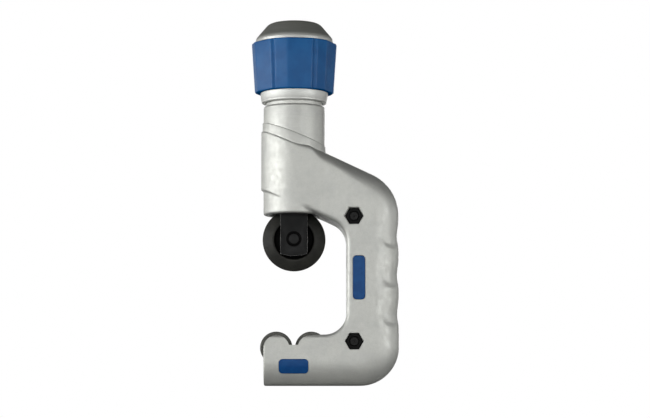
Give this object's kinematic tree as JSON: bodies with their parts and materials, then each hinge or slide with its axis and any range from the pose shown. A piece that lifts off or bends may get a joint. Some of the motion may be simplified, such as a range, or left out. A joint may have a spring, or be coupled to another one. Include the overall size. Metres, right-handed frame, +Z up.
{
  "type": "tube cutter",
  "caption": "C-frame tube cutter: a knob on a barrel feeds a wheel carriage down towards rollers in the lower arm.",
  "frame": {"origin": "on the flat underside of the lower arm, under the tool axis (the common axis of barrel, feed spindle and knob)", "axes": "+Z up along the tool axis towards the knob, +X from the tool axis to the spine, -Y towards the side with the nuts and inlays"},
  "size_m": [0.0736, 0.0422, 0.1818],
  "materials": {
    "cast_frame": "bead-blasted satin",
    "turned_metal": "satin turned",
    "grip_blue": "satin moulded",
    "inlay_blue": "satin moulded",
    "dark_steel": "black oxide",
    "black_fastener": "black oxide",
    "bright_steel": "turned",
    "bronze": "sintered"
  },
  "bodies": {
    "frame": {"frame": "cast_frame", "rear_cover": "cast_frame", "cover_screws": "black_fastener", "cover_nuts": "black_fastener", "spine_inlay": "inlay_blue", "arm_inlay": "inlay_blue", "barrel_bush": "bronze", "thrust_washer": "bright_steel", "guide_pin": "bright_steel", "roller_pin_left": "bright_steel", "roller_pin_right": "bright_steel"},
    "knob": {"spindle": "bright_steel", "knob_core": "turned_metal", "knob_grip": "grip_blue", "knob_cap": "turned_metal", "knob_washer": "bright_steel", "knob_nut": "bright_steel"},
    "carriage": {"wheel_carrier": "dark_steel", "wheel_axle": "dark_steel", "axle_clip": "bright_steel"},
    "cutting_wheel": {"cutting_wheel": "dark_steel", "wheel_bush": "bronze"},
    "roller_left": {"roller_left": "dark_steel"},
    "roller_right": {"roller_right": "dark_steel"}
  },
  "joints": [
    {"name": "knob_turn", "type": "hinge", "parent": "frame", "child": "knob", "pos_m": [0, 0, 0.16], "axis": [0, 0, -1], "range_deg": [0, 3780]},
    {"name": "carriage_feed", "type": "slide", "parent": "frame", "child": "carriage", "axis": [0, 0, -1], "range_m": [0, 0.0315]},
    {"name": "wheel_spin", "type": "hinge", "parent": "carriage", "child": "cutting_wheel", "pos_m": [0, 0, 0.0725], "axis": [0, 1, 0], "continuous": true},
    {"name": "roller_left_spin", "type": "hinge", "parent": "frame", "child": "roller_left", "pos_m": [-0.00865, 0, 0.0185], "axis": [0, 1, 0], "continuous": true},
    {"name": "roller_right_spin", "type": "hinge", "parent": "frame", "child": "roller_right", "pos_m": [0.00865, 0, 0.0185], "axis": [0, 1, 0], "continuous": true}
  ],
  "couplings": [
    {"joint": "knob_turn", "follows": "carriage_feed", "rad_per_m": 2094.4}
  ]
}
